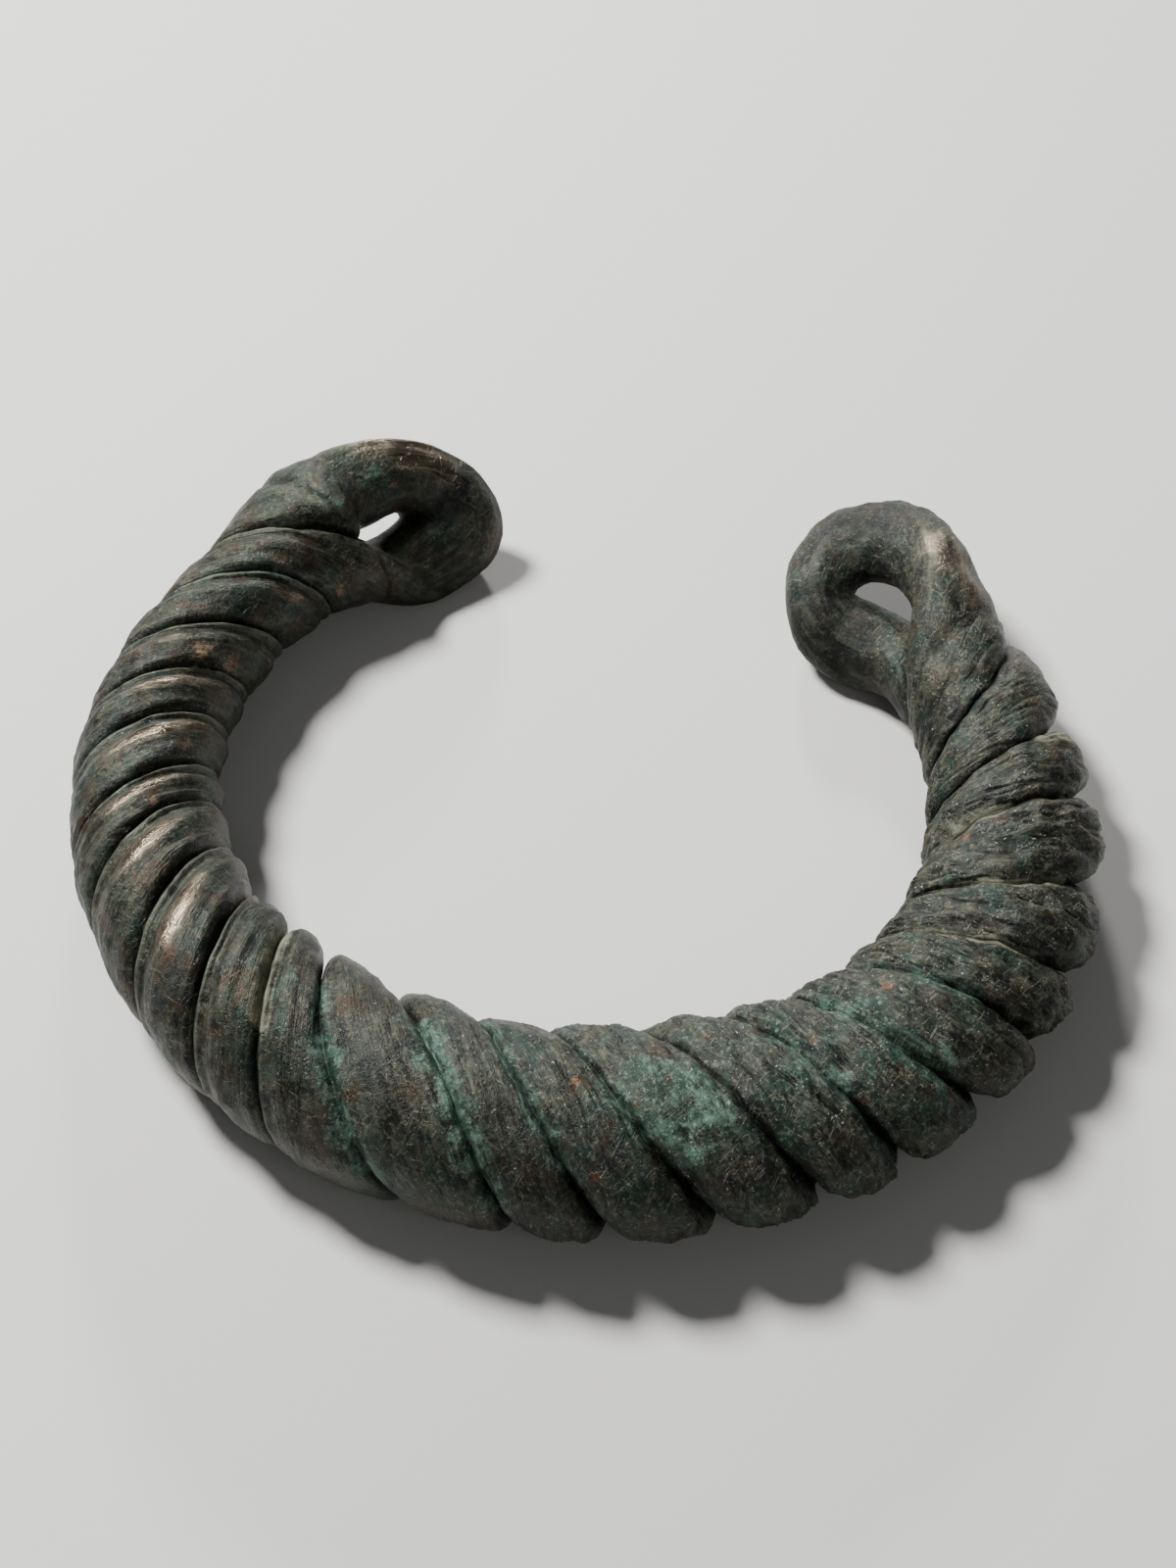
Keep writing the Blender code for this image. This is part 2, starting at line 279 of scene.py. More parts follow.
def section_radius(s, angle):
    """Distance of the surface from the bar's middle, as a share of the half width."""
    world = world_angle(s, angle)
    run = (s - BODY_START) / (BODY_END - BODY_START)
    outer = np.maximum(0.0, np.cos(world)) ** SIDE_FOCUS
    inner = np.maximum(0.0, -np.cos(world)) ** SIDE_FOCUS
    rightward = ramp(run, DEEP_FROM, DEEP_TO)
    knobs = ramp(run, *KNOBS_RISE) * (1.0 - ramp(run, *KNOBS_FALL))
    fingers = ramp(run, *BANDS_END)
    outer_depth = OUTER_DEPTH_LEFT + (OUTER_DEPTH_RIGHT - OUTER_DEPTH_LEFT) * rightward
    inner_depth = INNER_DEPTH + (KNOB_DEPTH - INNER_DEPTH) * knobs
    top_depth = BAND_DEPTH + (TOP_DEPTH - BAND_DEPTH) * fingers
    depth = top_depth + (outer_depth - top_depth) * outer + (inner_depth - top_depth) * inner
    share = (-angle / math.pi) % 1.0
    finger = (1.0 - np.abs(2.0 * share - 1.0) ** FINGER_BLUNTNESS) ** 0.5
    form = band_form(share) + (finger - band_form(share)) * np.maximum(fingers, knobs * inner)
    past_split = (s - LEFT_SPLIT_AT) / SHOULDER_LONG
    shoulder = SHOULDER * np.exp(-past_split ** 2) * np.maximum(0.0, np.cos(world - SHOULDER_AT))
    return 1.0 + shoulder + KNOB_SWELL * knobs * inner * form - depth * (1.0 - form)


# %% [markdown]
# ## The straight bar
#
# The bar is a tube of rings, each ring with a point in both grooves. At its ends every ring is shared
# out between two legs at those groove points, and one leg is led round the loop to meet the other.
# That keeps the whole ring one closed skin, with no joint to hide. Each point also remembers where on
# its strand it is, so that grain and patina can follow the twist later.

# %% Straight doubled bar
points = []
faces = []
N = SECTION_POINTS
HALF = N // 2
GROOVE_CROWDING = 0.35
STRAND_WIDTH_MM = 6.0
STRAND_PER_TURN_MM = 23.0
BAR_HALF_WIDTH = 7.0 * MM
even_angle = 2.0 * math.pi * np.arange(N) / N
section_angle = even_angle - GROOVE_CROWDING * np.sin(2.0 * even_angle) / 2.0


def add_ring(s, across, up, crest, grain_across, grain_along, loop_share):
    """Stores a ring of points with what each remembers, and returns their numbers."""
    first = len(points)
    parts = np.broadcast_arrays(s, across, up, crest, grain_across, grain_along, loop_share)
    points.extend(zip(*parts))
    return list(range(first, len(points)))


def join_rings(ring_a, ring_b, turned=False):
    """Lays a band of faces between two rings."""
    for j in range(len(ring_a)):
        k = (j + 1) % len(ring_a)
        quad = (ring_a[j], ring_a[k], ring_b[k], ring_b[j])
        faces.append(quad[::-1] if turned else quad)


ring_count = int(round(RINGS_PER_TURN * (RIGHT_SPLIT - LEFT_SPLIT))) + 1
body_rings = []
for phase in np.linspace(LEFT_SPLIT, RIGHT_SPLIT, ring_count):
    s = float(np.interp(phase, turns, stations))
    radius = section_radius(s, section_angle)
    body_rings.append(add_ring(
        s, radius * np.sin(section_angle), radius * np.cos(section_angle),
        np.abs(np.sin(section_angle)), section_angle / math.pi * STRAND_WIDTH_MM,
        phase * STRAND_PER_TURN_MM, 0.0,
    ))
for ring_a, ring_b in zip(body_rings[:-1], body_rings[1:]):
    join_rings(ring_a, ring_b)
print("rings along the bar", ring_count)

# %% [markdown]
# ## The loops
#
# Each loop is one strand led round and back. Its middle is a smooth path through a few points, and its
# section changes from the half round strand to the leg's own flattened round. A thin rim runs round
# the outer edge of the left loop, as on a strand that was hammered flat.


# %% Loops at the ends
WEB_BULGE = 0.9 * MM
WEB_CREST = 0.2
WEB_LOOP_SHARE = 0.3
STRAND_MIDDLE = 0.5
RIM_BAND, LOW_RIM_BAND = 0.16, 0.20
LOW_RIM_SHARE = 0.6
LOW_RIM_AFTER = 62.0
LOOK_AROUND = 0.005
STRAIGHT_PART = 0.3
LOOP_FROM = 0.12
LOOP_GRAIN = 2.4


def loop_path(loop, start_share, unit):
    """Middle of the leg from one strand to the other, as a function of u from 0 to 1."""
    length = loop["length"] * MM
    half = loop["half"] * MM / unit
    stops = [(0.0, start_share)]
    stops += [(length * past, half * offset) for past, offset in loop["shape"]]
    stops += [(0.0, -start_share)]
    stops = np.array(stops)
    steps = np.hypot(np.diff(stops[:, 0]) / unit, np.diff(stops[:, 1]))
    gone = np.concatenate([[0.0], np.cumsum(steps)]) / steps.sum()
    past_of = smooth_curve(gone, stops[:, 0])
    offset_of = smooth_curve(gone, stops[:, 1])
    return lambda u: np.array((float(past_of(u)), float(offset_of(u))))


def add_loop(ring, loop, s_end, way):
    """Leads one strand out of the bar, round the loop and back in as the other strand."""
    unit = float(half_width_along(np.clip(s_end, BODY_START, BODY_END)))
    split = np.array([points[i][1:3] for i in ring])
    top, low = split[0, 1], split[HALF, 1]
    chord_up = low + (top - low) * np.arange(1, HALF) / HALF
    turn = float(twist_phase(s_end)) * STRAND_PER_TURN_MM
    chord = add_ring(s_end + way * WEB_BULGE, 0.0, chord_up, WEB_CREST, 0.0, turn, WEB_LOOP_SHARE)
    inner = np.stack([np.zeros(HALF - 1), chord_up], axis=1)
    side_a = split[0:HALF + 1]
    side_b = np.concatenate([split[:1], split[:HALF - 1:-1]]) * (-1.0, 1.0)
    leg_angle = math.pi / 2 - even_angle
    from_rim = leg_angle - math.radians(loop["rim_at"])
    from_low_rim = leg_angle - math.radians(loop["rim_at"] + LOW_RIM_AFTER)
    outer_rim = loop["rim"] * np.exp(-(from_rim / RIM_BAND) ** 2)
    outer_rim += LOW_RIM_SHARE * loop["rim"] * np.exp(-(from_low_rim / LOW_RIM_BAND) ** 2)
    path = loop_path(loop, STRAND_MIDDLE, unit)
    rings = [ring[0:HALF + 1] + chord]
    for i in range(1, LEG_RINGS):
        u = i / LEG_RINGS
        past, offset = path(u)
        from_end = min(u, 1.0 - u)
        straight = float(ramp(from_end, 0.0, STRAIGHT_PART))
        blend = float(ramp(from_end, 0.0, loop["blend"]))
        go = (path(min(u + LOOK_AROUND, 1.0)) - path(max(u - LOOK_AROUND, 0.0))) / (unit, 1.0)
        go /= np.hypot(*go)
        go = go * straight + np.array((1.0 if u < 0.5 else -1.0, 0.0)) * (1.0 - straight)
        go /= np.hypot(*go)
        reach = past / (loop["length"] * MM)
        wide = (loop["leg_wide"] + (loop["end_wide"] - loop["leg_wide"]) * reach ** 4) * MM / unit
        thick = loop["leg_thick"] * MM / unit
        start = np.concatenate([side_a if u < 0.5 else side_b, inner]) - (STRAND_MIDDLE, 0.0)
        swell = 1.0 + outer_rim * blend
        rounded = np.stack([wide * np.cos(leg_angle) * swell, thick * np.sin(leg_angle) * swell], axis=1)
        shape = start + (rounded - start) * blend
        s_ring = s_end + way * (past - shape[:, 0] * go[1] * unit)
        crest = blend + (1.0 - blend) * np.abs(np.sin(even_angle))
        distance = from_end * loop["length"] * LOOP_GRAIN
        rings.append(add_ring(
            s_ring, offset + shape[:, 0] * go[0], shape[:, 1], crest,
            even_angle / math.pi * STRAND_WIDTH_MM, turn + way * distance,
            float(ramp(from_end, 0.0, LOOP_FROM)),
        ))
    rings.append([ring[0]] + ring[:HALF - 1:-1] + chord)
    for ring_a, ring_b in zip(rings[:-1], rings[1:]):
        join_rings(ring_a, ring_b, turned=way < 0)


add_loop(body_rings[0], LEFT_LOOP, LEFT_SPLIT_AT, -1.0)
add_loop(body_rings[-1], RIGHT_LOOP, RIGHT_SPLIT_AT, 1.0)

s_all, across_all, up_all, crest_all, grain_across_all, grain_along_all, on_loop_all = np.array(points).T
bar_shape = np.column_stack([s_all, across_all * BAR_HALF_WIDTH, up_all * BAR_HALF_WIDTH])
bar_mesh = bpy.data.meshes.new("straight_bar")
bar_mesh.from_pydata(bar_shape.tolist(), [], faces)
print("straight bar", len(points), "points", len(faces), "faces")

# %% [markdown]
# ## What every point remembers
#
# Geometry Nodes can read any number stored on the points of a mesh. So the bar keeps, for each point,
# its length along the bar, its place in the section, the twist and the sizes that hold there. The
# trees and the material later ask for these by name.


# %% Sizes stored on the points
def store(mesh, name, values):
    """Keeps one number, or one vector, for every point of a mesh."""
    values = np.asarray(values, dtype=np.float32)
    kind, field = ("FLOAT", "value") if values.ndim == 1 else ("FLOAT_VECTOR", "vector")
    layer = mesh.attributes.new(name, kind, "POINT")
    layer.data.foreach_set(field, values.ravel())


inside = np.clip(s_all, BODY_START, BODY_END)
phase_all = twist_phase(s_all)
turned_by = np.arctan2(across_all, up_all)
side_angle = (world_angle(s_all, turned_by) + math.pi / 2) % (2.0 * math.pi) - math.pi / 2
groove_count = phase_all + side_angle / math.pi - 0.5
store(bar_mesh, "run", s_all)
store(bar_mesh, "across", across_all)
store(bar_mesh, "up", up_all)
store(bar_mesh, "crest", crest_all)
store(bar_mesh, "grain", np.column_stack([grain_across_all, grain_along_all, np.zeros(len(points))]))
store(bar_mesh, "on_loop", on_loop_all)
store(bar_mesh, "twist", -math.pi * phase_all)
store(bar_mesh, "half_width", half_width_along(inside))
store(bar_mesh, "half_height", half_height_along(inside))
store(bar_mesh, "lean", lean_along(inside))
print("stored", len(bar_mesh.attributes), "layers")

# %% [markdown]
# ## Twist and bend with Geometry Nodes
#
# The node tree takes the straight bar, turns every point round the bar's middle by its twist, and
# lays it along the centreline curve. Its inputs stay editable: the curve, the amount of twist, and
# how much of the underside is worn flat.

# %% Centreline curve
track_curve = bpy.data.curves.new("centreline", "CURVE")
track_curve.dimensions = "3D"
spline = track_curve.splines.new("POLY")
spline.points.add(len(track) - 1)
spline.points.foreach_set("co", np.column_stack([track, np.zeros(len(track)), np.ones(len(track))]).ravel())
centreline = bpy.data.objects.new("centreline", track_curve)
bpy.context.scene.collection.objects.link(centreline)
print("centreline points", len(track))


# %% [markdown]
# ## Short words for nodes
#
# A shape tree and a material are both nodes joined by links. Written out in full they would bury the
# idea, so one small class adds a node, joins its inputs and hands back its output. A second class starts
# a Geometry Nodes tree with named inputs, and ends it with Realize Instances and Set Material, so that
# what comes out is always a plain mesh with its material.


# %% Node helpers
SEED_SHIFT = (17.3, 5.1, 9.7)
CELL_SHIFT = (3.7, 11.9, 7.3)


class Nodes:
    """Short ways to add nodes to a tree and join them."""

    def __init__(self, tree):
        self.tree = tree

    def add(self, kind, *joined, settings=None):
        """Adds a node, sets its options and joins its first inputs in order."""
        node = self.tree.nodes.new(kind)
        for key, value in (settings or {}).items():
            setattr(node, key, value)
        for i, source in enumerate(joined):
            self.put(node.inputs[i], source)
        return node

    def put(self, socket, source):
        """Gives an input a value, or joins it to another node's output."""
        if isinstance(source, (int, float, tuple)):
            socket.default_value = source
        else:
            self.tree.links.new(source, socket)

    def math(self, operation, *values):
        """One step of arithmetic."""
        return self.add("ShaderNodeMath", *values, settings={"operation": operation}).outputs[0]

    def total(self, *values):
        """Sum of any number of values."""
        result = values[0]
        for value in values[1:]:
            result = self.math("ADD", result, value)
        return result

    def times(self, *values):
        """Product of any number of values."""
        result = values[0]
        for value in values[1:]:
            result = self.math("MULTIPLY", result, value)
        return result

    def without(self, value):
        """What is left of one when a value is taken away."""
        return self.math("SUBTRACT", 1.0, value)

    def vector(self, operation, *values):
        """One step of vector arithmetic."""
        return self.add("ShaderNodeVectorMath", *values, settings={"operation": operation}).outputs[0]

    def scaled(self, vector, scale):
        """Vector made longer or shorter."""
        node = self.add("ShaderNodeVectorMath", vector, settings={"operation": "SCALE"})
        self.put(node.inputs["Scale"], scale)
        return node.outputs[0]

    def xyz(self, x, y, z):
        """Vector from its three parts."""
        return self.add("ShaderNodeCombineXYZ", x, y, z).outputs[0]

    def span(self, value, low, high, to_low=0.0, to_high=1.0):
        """Smooth step of a value between two limits."""
        node = self.add("ShaderNodeMapRange", value, low, high, to_low, to_high,
                        settings={"interpolation_type": "SMOOTHSTEP"})
        return node.outputs[0]

    def noise(self, vector, size, seed=0, detail=3.0, rough=0.5):
        """Soft noise between 0 and 1, with spots about as large as size in the vector's unit."""
        sizes = size if isinstance(size, tuple) else (size,) * 3
        stretch = tuple(1.0 / part for part in sizes)
        spot = self.vector("MULTIPLY_ADD", vector, stretch, tuple(seed * part for part in SEED_SHIFT))
        node = self.add("ShaderNodeTexNoise")
        self.put(node.inputs["Vector"], spot)
        node.inputs["Scale"].default_value = 1.0
        node.inputs["Detail"].default_value = detail
        node.inputs["Roughness"].default_value = rough
        return node.outputs[0]

    def cells(self, vector, size, seed=0):
        """Distance from the middle of the nearest of many random cells of a size."""
        node = self.add("ShaderNodeTexVoronoi")
        shift = tuple(seed * part for part in CELL_SHIFT)
        spot = self.vector("MULTIPLY_ADD", vector, (1.0 / size,) * 3, shift)
        self.put(node.inputs["Vector"], spot)
        node.inputs["Scale"].default_value = 1.0
        return node.outputs["Distance"]


class Tree(Nodes):
    """A Geometry Nodes tree with named inputs."""

    def __init__(self, name, inputs):
        super().__init__(bpy.data.node_groups.new(name, "GeometryNodeTree"))
        self.tree.interface.new_socket("Geometry", in_out="INPUT", socket_type="NodeSocketGeometry")
        self.tree.interface.new_socket("Geometry", in_out="OUTPUT", socket_type="NodeSocketGeometry")
        self.ids = {}
        for label, kind, value in inputs:
            socket = self.tree.interface.new_socket(label, in_out="INPUT", socket_type=kind)
            if value is not None:
                socket.default_value = value
            self.ids[label] = socket.identifier
        self.given = self.tree.nodes.new("NodeGroupInput").outputs
        self.end = self.tree.nodes.new("NodeGroupOutput").inputs

    def named(self, name, kind="FLOAT"):
        """A number stored on the points, by its name."""
        node = self.add("GeometryNodeInputNamedAttribute", settings={"data_type": kind})
        node.inputs["Name"].default_value = name
        return node.outputs["Attribute"]

    def finish(self, geometry, material):
        """Ends the tree as a plain mesh with a material."""
        solid = self.add("GeometryNodeRealizeInstances", geometry)
        coated = self.add("GeometryNodeSetMaterial", solid.outputs[0])
        coated.inputs["Material"].default_value = material
        self.put(self.end[0], coated.outputs[0])


def apply_tree(obj, tree, values, name):
    """Runs a node tree on an object and returns its result as a plain mesh."""
    modifier = obj.modifiers.new("shape", "NODES")
    modifier.node_group = tree.tree
    for label, value in values.items():
        modifier[tree.ids[label]] = value
    graph = bpy.context.evaluated_depsgraph_get()
    mesh = bpy.data.meshes.new_from_object(obj.evaluated_get(graph))
    mesh.name = name
    obj.modifiers.remove(modifier)
    print(name, len(mesh.vertices), "points")
    return mesh


bronze = bpy.data.materials.new("bronze")
bronze.use_nodes = True
print("helpers ready, material", bronze.name)

# %% Twist and bend tree
UP = (0.0, 0.0, 1.0)
bend = Tree("twist_and_bend", [
    ("Centreline", "NodeSocketObject", None),
    ("Twist share", "NodeSocketFloat", 1.0),
    ("Floor cut", "NodeSocketFloat", FLOOR_CUT),
    ("Middle", "NodeSocketVector", (0.0, 0.0, 0.0)),
])
curve = bend.add("GeometryNodeObjectInfo", bend.given["Centreline"]).outputs["Geometry"]
along = bend.add("GeometryNodeSampleCurve", settings={"mode": "LENGTH"})
bend.put(along.inputs["Curves"], curve)
bend.put(along.inputs["Length"], bend.named("run"))
angle = bend.math("MULTIPLY", bend.named("twist"), bend.given["Twist share"])
section = bend.xyz(0.0, bend.named("across"), bend.named("up"))
turned = bend.add("ShaderNodeVectorRotate", settings={"rotation_type": "X_AXIS"})
bend.put(turned.inputs["Vector"], section)
bend.put(turned.inputs["Angle"], angle)
part = bend.add("ShaderNodeSeparateXYZ", turned.outputs[0]).outputs
outward = bend.vector("CROSS_PRODUCT", along.outputs["Tangent"], UP)
side_way = bend.math("MULTIPLY", part["Y"], bend.named("half_width"))
lean_way = bend.math("MULTIPLY", side_way, bend.named("lean"))
rise = bend.math("MULTIPLY_ADD", part["Z"], bend.named("half_height"), bend.named("half_height"))
above_cut = bend.math("MAXIMUM", rise, bend.given["Floor cut"])
level = bend.math("SUBTRACT", above_cut, bend.given["Floor cut"])
place = bend.vector("ADD", along.outputs["Position"], bend.scaled(outward, side_way))
place = bend.vector("ADD", place, bend.scaled(along.outputs["Tangent"], lean_way))
place = bend.vector("ADD", place, bend.xyz(0.0, 0.0, level))
place = bend.vector("ADD", place, bend.given["Middle"])
moved = bend.add("GeometryNodeSetPosition", bend.given["Geometry"])
bend.put(moved.inputs["Position"], place)
bend.finish(moved.outputs[0], bronze)
print("twist and bend nodes", len(bend.tree.nodes))

# %% The bent ring
bar = bpy.data.objects.new("bar", bar_mesh)
bpy.context.scene.collection.objects.link(bar)
bent_mesh = apply_tree(bar, bend, {
    "Centreline": centreline,
    "Twist share": 1.0,
    "Floor cut": FLOOR_CUT,
    "Middle": (MIDDLE[0], MIDDLE[1], 0.0),
}, "bent_ring")
bpy.data.objects.remove(centreline, do_unlink=True)
bpy.data.objects.remove(bar, do_unlink=True)

# %% [markdown]
# ## Where the patina and the painted shade lie
#
# Buried bronze grows its crusts in patches, and handling polishes only what stands up. So each colour
# has its places on the ring: a middle, a reach and a strength, all in millimetres on the object. The
# grooves hold pale deposits along part of their length. The dark places are no patina but painted shade,
# on faces turned away from the lamps. The edges stay soft here and are broken up by noise later.

# %% Places of patina, deposits and wear
PLACES_MM = {
    # middle of the patch on the ring, reach, strength
    "turquoise": [
        ((6.9, -28.2, 13.1), 3.1, 1.0), ((8.8, -30.0, 12.8), 3.1, 1.0), ((7.0, -31.2, 12.5), 3.0, 1.0),
        ((8.4, -32.4, 12.2), 2.4, 0.9), ((5.0, -27.0, 13.2), 2.0, 0.8), ((15.4, -27.0, 12.4), 2.2, 0.75),
        ((21.5, -21.3, 11.5), 2.4, 0.75), ((21.5, -26.0, 11.8), 2.0, 0.70), ((27.5, -24.4, 10.5), 1.8, 0.75),
        ((-22.6, -20.2, 14.2), 1.6, 0.65), ((-17.9, 32.1, 11.5), 2.5, 0.60), ((-21.8, 23.9, 7.5), 2.0, 0.60),
        ((-22.3, 29.2, 12.3), 2.5, 0.55), ((30.2, 14.5, 9.5), 2.0, 0.5), ((18.0, -24.5, 12.0), 2.0, 0.6),
    ],
    "cream": [
        ((30.0, -2.6, 9.3), 1.5, 0.62), ((39.2, 6.5, 9.0), 1.6, 0.95), ((37.4, 5.7, 10.0), 1.2, 0.80),
        ((28.0, -7.8, 9.3), 1.3, 0.60), ((-21.0, -17.5, 12.5), 1.3, 0.55),
    ],
    "soil": [
        ((-31.6, 13.8, 11.3), 1.3, 0.9), ((-29.4, 14.0, 9.2), 1.2, 1.0), ((-34.2, -2.6, 13.1), 0.8, 0.9),
        ((-21.1, 24.1, 6.3), 1.2, 0.7), ((-16.6, 32.3, 10.7), 1.0, 0.7), ((-13.5, 28.5, 4.5), 1.5, 0.6),
    ],
    "copper": [
        ((23.3, -18.8, 11.3), 1.0, 1.0), ((30.4, -3.9, 9.9), 0.9, 0.9), ((33.4, -3.2, 10.9), 1.1, 0.9),
        ((17.4, -23.8, 12.0), 0.8, 0.9), ((21.1, -28.4, 10.7), 0.9, 0.9), ((-0.3, -28.6, 13.6), 1.5, 0.75),
        ((1.1, -35.2, 11.3), 1.4, 0.8), ((-31.6, -17.3, 13.4), 1.6, 0.7), ((30.8, 20.6, 12.0), 1.2, 0.65),
    ],
    "polish": [
        ((-34.3, 11.0, 12.0), 4.0, 1.0), ((-34.6, 3.7, 12.7), 4.5, 1.0), ((-35.5, -2.0, 13.3), 4.5, 1.0),
        ((-34.6, -7.2, 13.6), 4.0, 0.9), ((-30.8, -13.6, 14.1), 4.5, 1.0), ((-32.5, 7.0, 11.3), 3.5, 0.8),
        ((-24.7, 21.8, 8.9), 2.5, 0.8), ((-18.6, 35.3, 12.0), 2.4, 0.9), ((-15.0, 35.5, 11.9), 2.6, 1.0),
        ((-11.8, 34.6, 10.6), 2.2, 0.8), ((30.3, 24.7, 11.8), 2.4, 0.8), ((31.5, 22.9, 11.8), 2.2, 0.9),
        ((32.8, 20.5, 11.2), 2.0, 0.9),
    ],
    # dark: painted shade on the loops' front faces, the right loop's far leg and the undersides
    "dark": [
        ((-12.5, 28.0, 2.5), 5.0, 0.9), ((-17.0, 26.0, 4.0), 2.5, 0.5), ((21.3, 21.0, 4.5), 5.0, 1.0),
        ((22.0, 16.0, 3.0), 4.5, 1.0), ((25.0, 13.0, 4.0), 3.5, 0.8), ((23.0, 26.0, 5.0), 3.0, 0.6),
        ((24.0, 31.0, 9.0), 8.0, 0.60), ((-14.0, 34.0, 8.0), 8.0, 0.50), ((-22.0, 30.0, 9.0), 6.0, 0.42),
    ],
    "lump": [
        ((-24.7, -11.5, 11.2), 3.0, 1.0), ((-22.0, -17.0, 11.5), 3.0, 1.0), ((-16.5, -22.5, 11.0), 3.0, 0.8),
        ((-28.8, 13.5, 8.0), 2.5, 0.8), ((2.0, -23.0, 11.0), 3.0, 0.7), ((16.0, -22.0, 10.5), 3.0, 0.8),
    ],
}
GROOVE_DEPOSITS = {
    # number of the groove, from and to which angle round the bar, width in mm, strength
    "turquoise": [
        (10, 10, 115, 1.3, 0.85), (11, 5, 120, 1.6, 0.95), (12, 40, 150, 1.3, 0.8), (13, 60, 140, 1.0, 0.6),
        (15, 50, 120, 1.2, 0.8), (16, 40, 130, 1.3, 0.85), (17, 70, 150, 1.0, 0.7), (1, 60, 140, 0.9, 0.6),
    ],
    "cream": [
        (9, 70, 172, 1.3, 0.95), (8, 125, 170, 0.6, 0.7), (18, 55, 150, 0.50, 0.95), (19, 50, 140, 0.45, 0.9),
        (20, 100, 160, 0.6, 0.8), (21, 0, 60, 0.6, 0.8), (4, 100, 150, 0.4, 0.7), (3, 70, 160, 0.5, 0.6),
    ],
}
CRACKS_MM = [
    # start, end, reach to each side
    ((13.9, -26.8, 12.5), (16.1, -27.7, 12.3), 0.55), ((17.0, -28.5, 12.1), (19.4, -29.8, 11.1), 0.60),
    ((6.9, -31.3, 12.7), (7.8, -32.6, 12.2), 0.50), ((14.4, -24.2, 11.9), (17.3, -24.8, 12.0), 0.55),
    ((36.0, -8.3, 9.9), (38.2, -10.5, 9.7), 0.60), ((35.6, -7.9, 10.7), (36.9, -6.1, 10.8), 0.50),
    ((-38.5, -3.8, 12.2), (-39.3, -4.6, 11.4), 0.90),
]
print("places", sum(len(places) for places in PLACES_MM.values()), "cracks", len(CRACKS_MM))

# %% How near each point is to a place
DEPOSIT_FADE = 12.0
spots = np.zeros(len(bent_mesh.vertices) * 3)
bent_mesh.vertices.foreach_get("co", spots)
spots = spots.reshape(-1, 3) / MM
on_bar = on_loop_all < 0.5


def near_places(places):
    """Strength of the nearest patch at every point."""
    weight = np.zeros(len(spots))
    for place, reach, strength in places:
        distance = np.linalg.norm(spots - np.array(place), axis=1) / reach
        weight = np.maximum(weight, strength * np.exp(-distance ** 2))
    return weight


def near_line(start, end, reach):
    """How close every point is to a straight stretch, 1 on it and 0 beyond its reach."""
    start, end = np.array(start), np.array(end)
    share = np.clip((spots - start) @ (end - start) / ((end - start) @ (end - start)), 0.0, 1.0)
    distance = np.linalg.norm(spots - start - share[:, None] * (end - start), axis=1)
    taper = 0.45 + 0.55 * np.sqrt(np.maximum(0.0, 4.0 * share * (1.0 - share)))
    return np.clip(1.0 - distance / (reach * taper), 0.0, 1.0)


def in_grooves(lines):
    """Strength of deposits that follow a groove between two angles round the bar."""
    weight = np.zeros(len(spots))
    for groove, low, high, width, strength in lines:
        angle = np.degrees(side_angle)
        off = np.abs(groove_count - groove) * STRAND_WIDTH_MM / width
        reach = ramp(angle, low - DEPOSIT_FADE, low) * (1.0 - ramp(angle, high, high + DEPOSIT_FADE))
        weight = np.maximum(weight, strength * np.exp(-off ** 2) * reach * on_bar)
    return weight


print("points to mark", len(spots))

# %% [markdown]
# ## Marks on the points
#
# Each place becomes one number per point. Polish is kept to the crests of the turns, where a sleeve or
# a hand rubs. Along the bar the skin changes too: the left half is worn smooth with a thin ledge beside
# each groove, and from the middle on it grows rugged and green.

# %% Marks stored on the points
CREST_SHARE = 0.38
CREST_BAND = 0.17
LEDGE_SHARE = 0.085
LEDGE_BAND = 0.035
LEAST_RUGGED = 0.15
RUGGED_RISE = (0.36, 0.72)
RUGGED_FALL = (0.85, 1.0)
VERDIGRIS_RISE = (0.45, 0.58)
VERDIGRIS_FALL = (0.70, 0.79)
share_across = (-turned_by / math.pi) % 1.0
on_crest = np.exp(-((share_across - CREST_SHARE) / CREST_BAND) ** 2)
for name, places in PLACES_MM.items():
    weight = near_places(places)
    if name == "polish":
        weight = weight * np.maximum(on_crest, on_loop_all)
    weight = np.maximum(weight, in_grooves(GROOVE_DEPOSITS.get(name, [])))
    store(bent_mesh, name, weight)
run_share = (s_all - BODY_START) / (BODY_END - BODY_START)
ledge = np.exp(-((share_across - LEDGE_SHARE) / LEDGE_BAND) ** 2) * (1.0 - ramp(run_share, *BANDS_END))
store(bent_mesh, "ledge", ledge * on_bar)
crack = np.zeros(len(spots))
for start, end, reach in CRACKS_MM:
    crack = np.maximum(crack, near_line(start, end, reach))
store(bent_mesh, "crack", crack)
verdigris_zone = ramp(run_share, *VERDIGRIS_RISE) * (1.0 - 0.75 * ramp(run_share, *VERDIGRIS_FALL))
store(bent_mesh, "verdigris", verdigris_zone)
rugged_zone = ramp(run_share, *RUGGED_RISE) * (1.0 - 0.5 * ramp(run_share, *RUGGED_FALL))
store(bent_mesh, "rugged", LEAST_RUGGED + (1.0 - LEAST_RUGGED) * rugged_zone)
print("points in turquoise", int((near_places(PLACES_MM["turquoise"]) > 0.5).sum()))

# %% [markdown]
# ## Relief of the skin
#
# A casting that lay in the ground is never smooth. The second node tree moves every point along its
# normal: broad unevenness, grain drawn out along the strands, creases, small pits, chipped skin on the
# rugged half, raised crusts, lumps on the inner side and a few cracks. The worn flat underside is left
# level so that the ring lies still.

